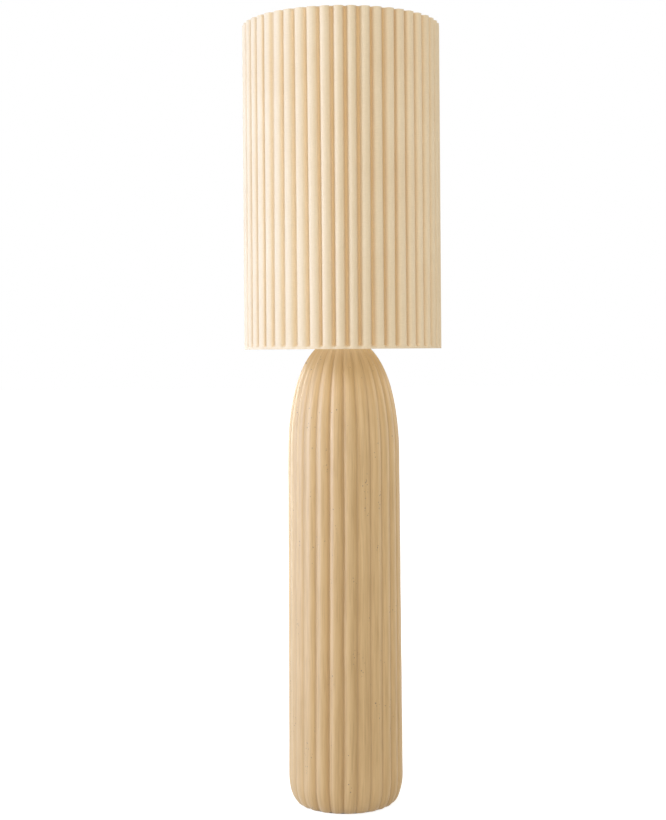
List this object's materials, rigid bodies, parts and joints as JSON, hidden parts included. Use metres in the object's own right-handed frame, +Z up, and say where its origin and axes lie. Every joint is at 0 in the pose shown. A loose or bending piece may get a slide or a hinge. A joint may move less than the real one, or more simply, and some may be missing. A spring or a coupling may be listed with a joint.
{
  "type": "floor lamp",
  "caption": "Floor lamp with a fluted ceramic column and a tall pleated drum shade that hides the bulb, harp and finial.",
  "frame": {"origin": "centre of the felt pad's underside, on the floor", "axes": "+Z up along the lamp's axis, -Y towards the front with the switch key, +Y towards the cable inlet, +X to the right as seen from the front"},
  "size_m": [0.3818, 0.3818, 1.5],
  "materials": {
    "ceramic": "matt, sand-coloured, with fine darker pits",
    "felt": "matt felt",
    "zinc_steel": "bright zinc",
    "nut_brass": "turned brass",
    "black_rubber": "matt",
    "block_plastic": "satin",
    "wire_insulation": "satin",
    "satin_brass": "satin",
    "fibre": "matt",
    "black_plastic": "satin",
    "screw_aluminium": "bright",
    "opal_glass": "opal",
    "clear_glass": "clear",
    "filament_yellow": "matt",
    "white_paint": "satin",
    "liner_film": "matt",
    "cream_fabric": "matt, pleated"
  },
  "bodies": {
    "stand": {"ceramic_body": "ceramic", "felt_pad": "felt", "bottom_plate": "zinc_steel", "bottom_washer": "zinc_steel", "rod_nuts": "nut_brass", "threaded_rod": "zinc_steel", "cable_grommet": "black_rubber", "terminal_block": "block_plastic", "terminal_screws": "zinc_steel", "inner_wires": "wire_insulation", "neck_gasket": "black_rubber", "vase_cap": "satin_brass", "riser_tube": "satin_brass", "harp_saddle": "satin_brass", "holder_cap": "satin_brass", "holder_shell": "satin_brass", "holder_liner": "fibre", "holder_body": "black_plastic", "holder_screws": "nut_brass", "screw_shell": "screw_aluminium", "centre_contact": "nut_brass", "harp": "satin_brass"},
    "bulb_lift": {"bulb_contact": "zinc_steel"},
    "bulb": {"bulb_glass": "opal_glass", "bulb_cap": "screw_aluminium", "bulb_insulator": "black_plastic", "bulb_stem": "clear_glass", "bulb_filaments": "filament_yellow"},
    "switch": {"switch_spindle": "zinc_steel", "switch_key": "black_plastic"},
    "sleeve_left": {"harp_sleeve_left": "satin_brass"},
    "sleeve_right": {"harp_sleeve_right": "satin_brass"},
    "finial_lift": {"finial_bush": "nut_brass"},
    "finial_cap": {"finial": "satin_brass"},
    "shade": {"spider_ring": "white_paint", "bottom_ring": "white_paint", "shade_liner": "liner_film", "shade_cover": "cream_fabric"}
  },
  "joints": [
    {"name": "shade_turn", "type": "hinge", "parent": "stand", "child": "shade", "pos_m": [0, 0, 1.4558], "axis": [0, 0, 1], "continuous": true},
    {"name": "finial_rise", "type": "slide", "parent": "stand", "child": "finial_lift", "axis": [0, 0, 1], "range_m": [0, 0.00846]},
    {"name": "finial_turn", "type": "hinge", "parent": "finial_lift", "child": "finial_cap", "pos_m": [0, 0, 1.4583], "axis": [0, 0, 1], "range_deg": [0, 3245]},
    {"name": "bulb_rise", "type": "slide", "parent": "stand", "child": "bulb_lift", "axis": [0, 0, 1], "range_m": [0, 0.0144]},
    {"name": "bulb_turn", "type": "hinge", "parent": "bulb_lift", "child": "bulb", "pos_m": [0, 0, 1.1993], "axis": [0, 0, 1], "range_deg": [0, 1445]},
    {"name": "switch_turn", "type": "hinge", "parent": "stand", "child": "switch", "pos_m": [0, 0, 1.1857], "axis": [0, -1, 0], "continuous": true},
    {"name": "sleeve_left_slide", "type": "slide", "parent": "stand", "child": "sleeve_left", "axis": [0, 0, 1], "range_m": [0, 0.01]},
    {"name": "sleeve_right_slide", "type": "slide", "parent": "stand", "child": "sleeve_right", "axis": [0, 0, 1], "range_m": [0, 0.01]}
  ],
  "couplings": [
    {"joint": "finial_turn", "follows": "finial_rise", "rad_per_m": 6684.2},
    {"joint": "bulb_turn", "follows": "bulb_rise", "rad_per_m": 1745.3}
  ]
}
